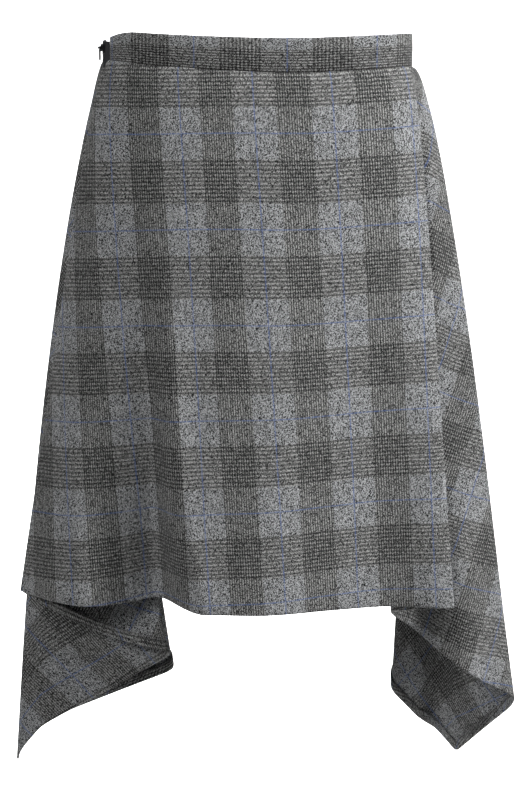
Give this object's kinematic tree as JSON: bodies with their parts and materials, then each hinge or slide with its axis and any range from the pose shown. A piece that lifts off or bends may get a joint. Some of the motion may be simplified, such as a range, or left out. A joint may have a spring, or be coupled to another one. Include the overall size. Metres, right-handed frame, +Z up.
{
  "type": "handkerchief skirt",
  "caption": "Worn hollow A-line skirt with a waistband, a level front hem and bias side panels that hang in folds to a point at each side.",
  "frame": {"origin": "centre of the waist, at half the height of the waistband, where the wearer's waist holds the skirt", "axes": "+Z up to the band's top edge and away from the hem points, front facing -Y, +X to the right as seen from the front, +Y to the back"},
  "size_m": [0.4838, 0.3096, 0.697],
  "materials": {
    "checked_suiting": "matt twill-woven glen check in grey and near black with a thin slate blue overcheck",
    "zip_tape": "matt near-black woven tape",
    "zip_metal": "dark grey lacquered metal, satin"
  },
  "bodies": {
    "skirt": {"waistband": "checked_suiting", "front_panel": "checked_suiting", "back_panel": "checked_suiting", "side_panel_left": "checked_suiting", "side_panel_right": "checked_suiting", "zip_tape": "zip_tape", "zip_slider": "zip_metal"},
    "pull": {"zip_pull": "zip_metal"}
  },
  "joints": [
    {"name": "pull_swing", "type": "hinge", "parent": "skirt", "child": "pull", "pos_m": [-0.14332, -0.02922, 0.0048], "axis": [-0.4902, 0.8716, 0], "range_deg": [0, 150]}
  ]
}
